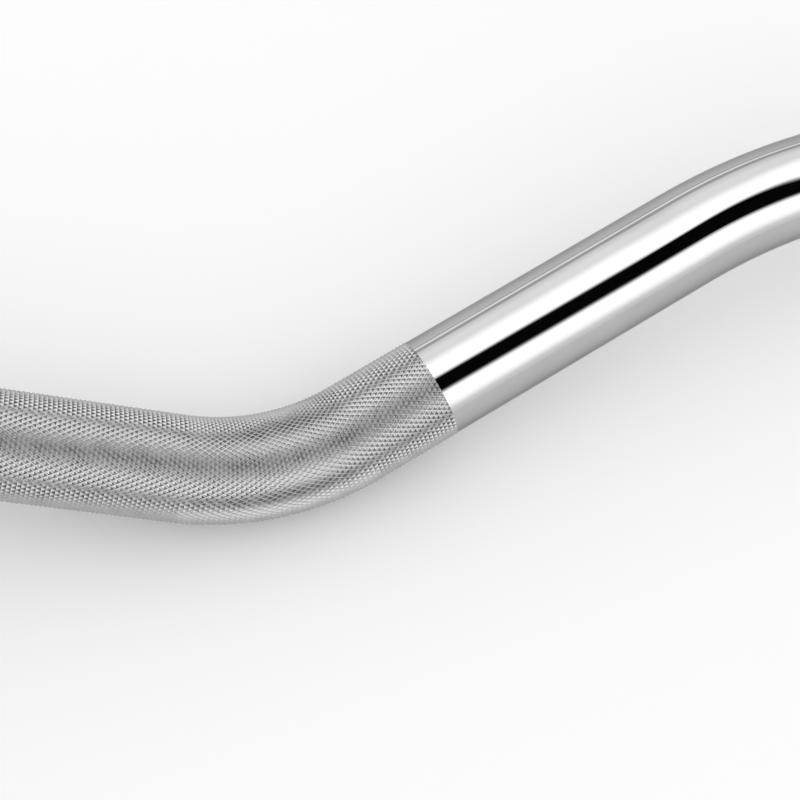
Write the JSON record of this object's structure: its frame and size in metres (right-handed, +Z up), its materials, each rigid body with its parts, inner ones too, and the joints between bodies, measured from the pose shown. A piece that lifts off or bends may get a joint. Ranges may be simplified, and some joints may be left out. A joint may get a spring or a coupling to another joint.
{
  "type": "ez curl bar",
  "caption": "Chrome curl bar bent in a shallow W, with diamond-knurled angled grips and a plate sleeve that turns freely on bushings at each end.",
  "frame": {"origin": "centre of the bounding box, on the floor the bar rests on", "axes": "+X along the bar toward the right sleeve, +Z up, the two low bends of the shaft toward -Y"},
  "size_m": [1.1936, 0.0873, 0.076],
  "materials": {
    "chrome": "bright chrome plate, polished between the grips and diamond knurled on them",
    "sleeve_chrome": "bright chrome plate over fine turning marks",
    "bronze": "oil-filled sintered bronze",
    "washer_steel": "ground steel",
    "spring_steel": "black oxide spring steel",
    "cap_steel": "turned steel, satin",
    "seal_rubber": "matt black rubber"
  },
  "bodies": {
    "bar": {"shaft": "chrome", "left_inner_washer": "washer_steel", "left_outer_washer": "washer_steel", "left_shaft_ring": "spring_steel", "right_inner_washer": "washer_steel", "right_outer_washer": "washer_steel", "right_shaft_ring": "spring_steel"},
    "left_sleeve_assembly": {"left_sleeve": "sleeve_chrome", "left_collar": "sleeve_chrome", "left_dust_seal": "seal_rubber", "left_inner_bushing": "bronze", "left_outer_bushing": "bronze", "left_end_cap": "cap_steel", "left_cap_ring": "spring_steel"},
    "right_sleeve_assembly": {"right_sleeve": "sleeve_chrome", "right_collar": "sleeve_chrome", "right_dust_seal": "seal_rubber", "right_inner_bushing": "bronze", "right_outer_bushing": "bronze", "right_end_cap": "cap_steel", "right_cap_ring": "spring_steel"}
  },
  "joints": [
    {"name": "left_sleeve_spin", "type": "hinge", "parent": "bar", "child": "left_sleeve_assembly", "pos_m": [-0.50084, 0.00568, 0.038], "axis": [1, 0, 0], "continuous": true},
    {"name": "right_sleeve_spin", "type": "hinge", "parent": "bar", "child": "right_sleeve_assembly", "pos_m": [0.50084, 0.00568, 0.038], "axis": [1, 0, 0], "continuous": true}
  ]
}
